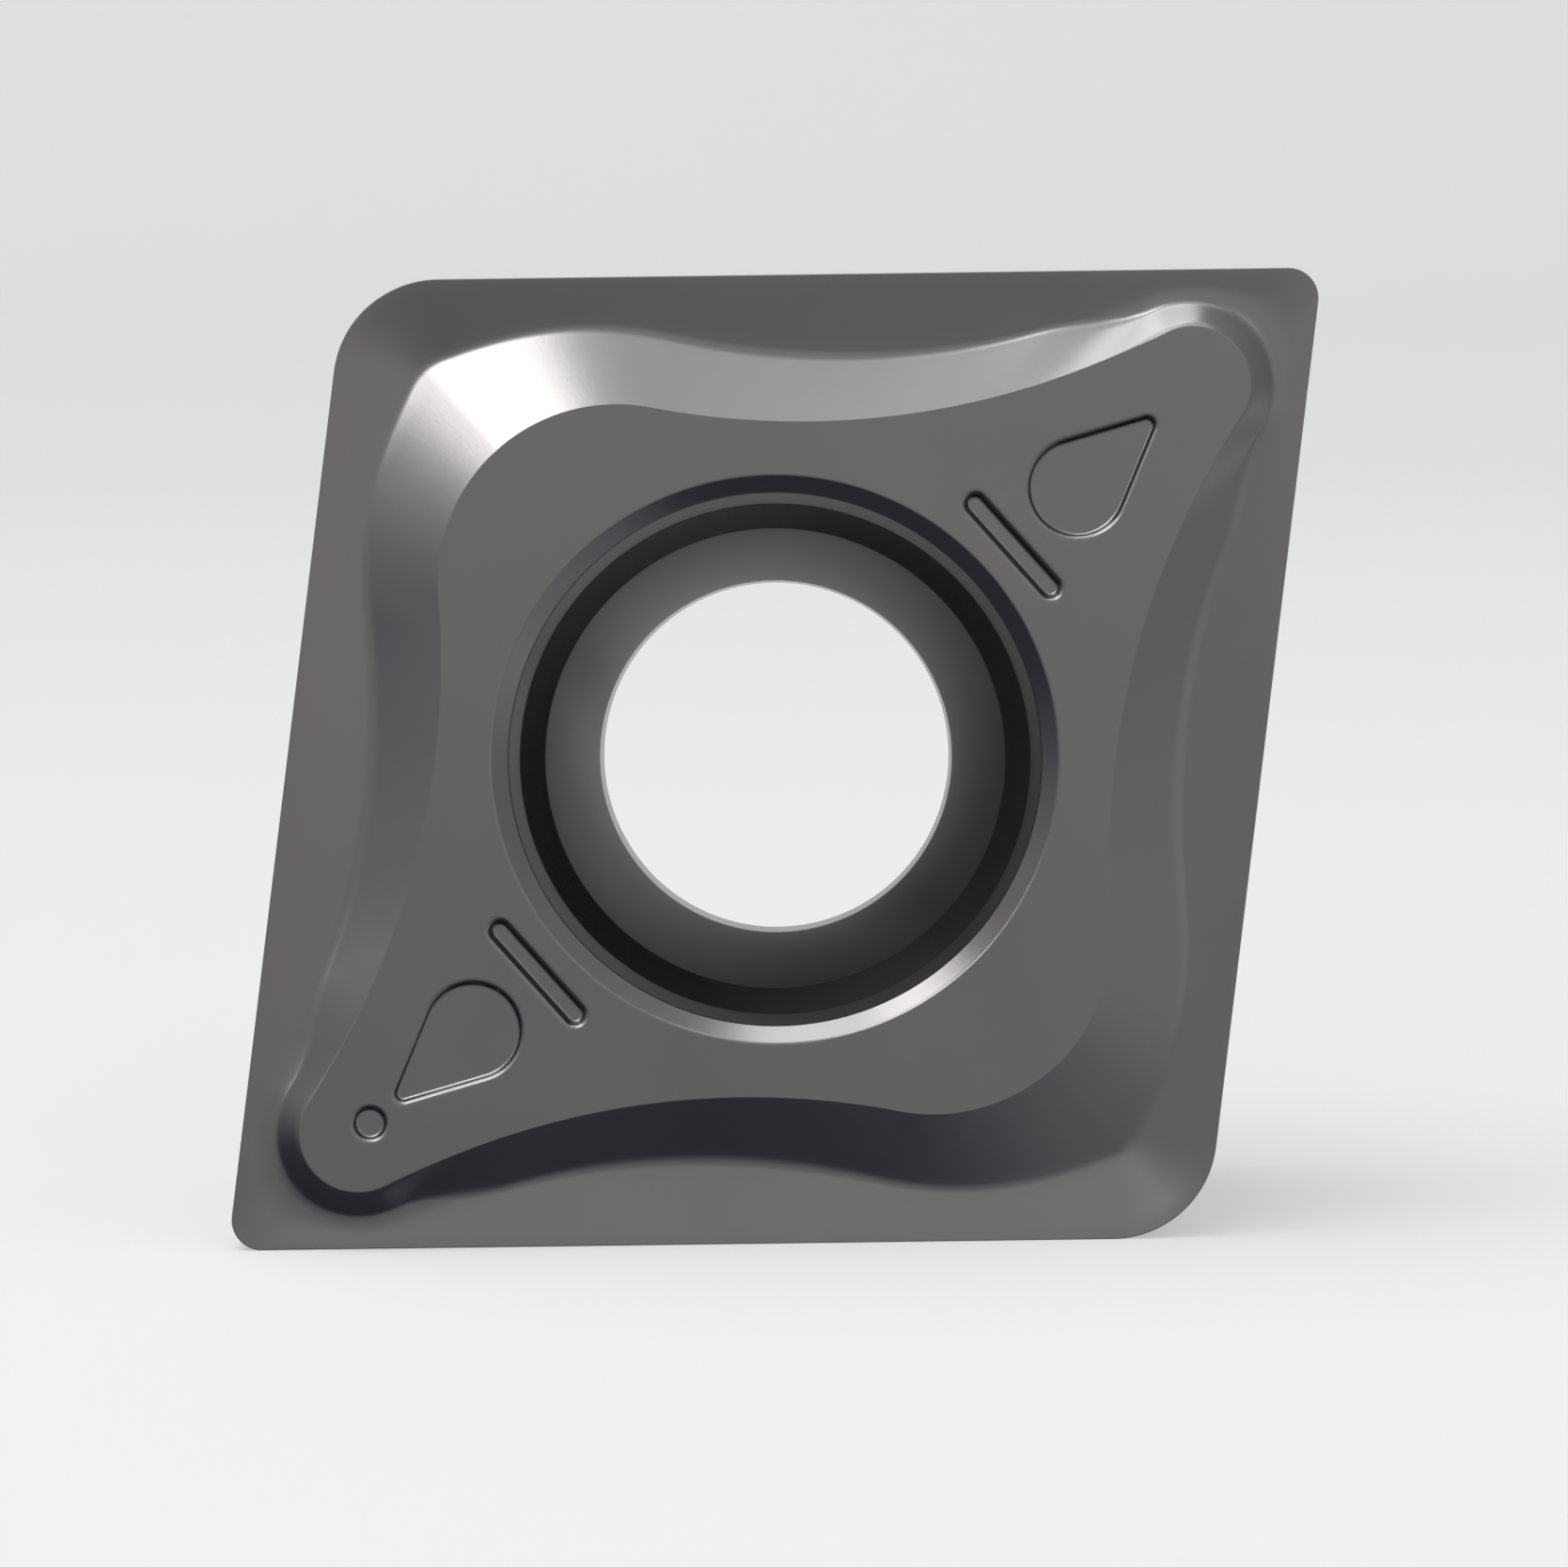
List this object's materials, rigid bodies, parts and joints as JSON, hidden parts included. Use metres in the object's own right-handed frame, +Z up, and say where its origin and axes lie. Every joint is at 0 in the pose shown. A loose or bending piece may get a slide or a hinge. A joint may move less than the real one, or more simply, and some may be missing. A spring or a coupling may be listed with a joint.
{
  "type": "carbide insert",
  "caption": "Single-sided rhombic turning insert with clearance flanks, moulded chip breaker and countersunk screw hole.",
  "frame": {"origin": "centre of the bounding box at its lowest face, on the surface the insert stands on", "axes": "+Z up, +X along the lower cutting edge to the right as seen from the rake face, -Y to the rake face"},
  "size_m": [0.0144, 0.0064, 0.0126],
  "materials": {
    "coated_carbide": "dark grey satin coating on sintered tungsten carbide"
  },
  "bodies": {
    "root": {"insert_body": "coated_carbide"}
  },
  "joints": []
}
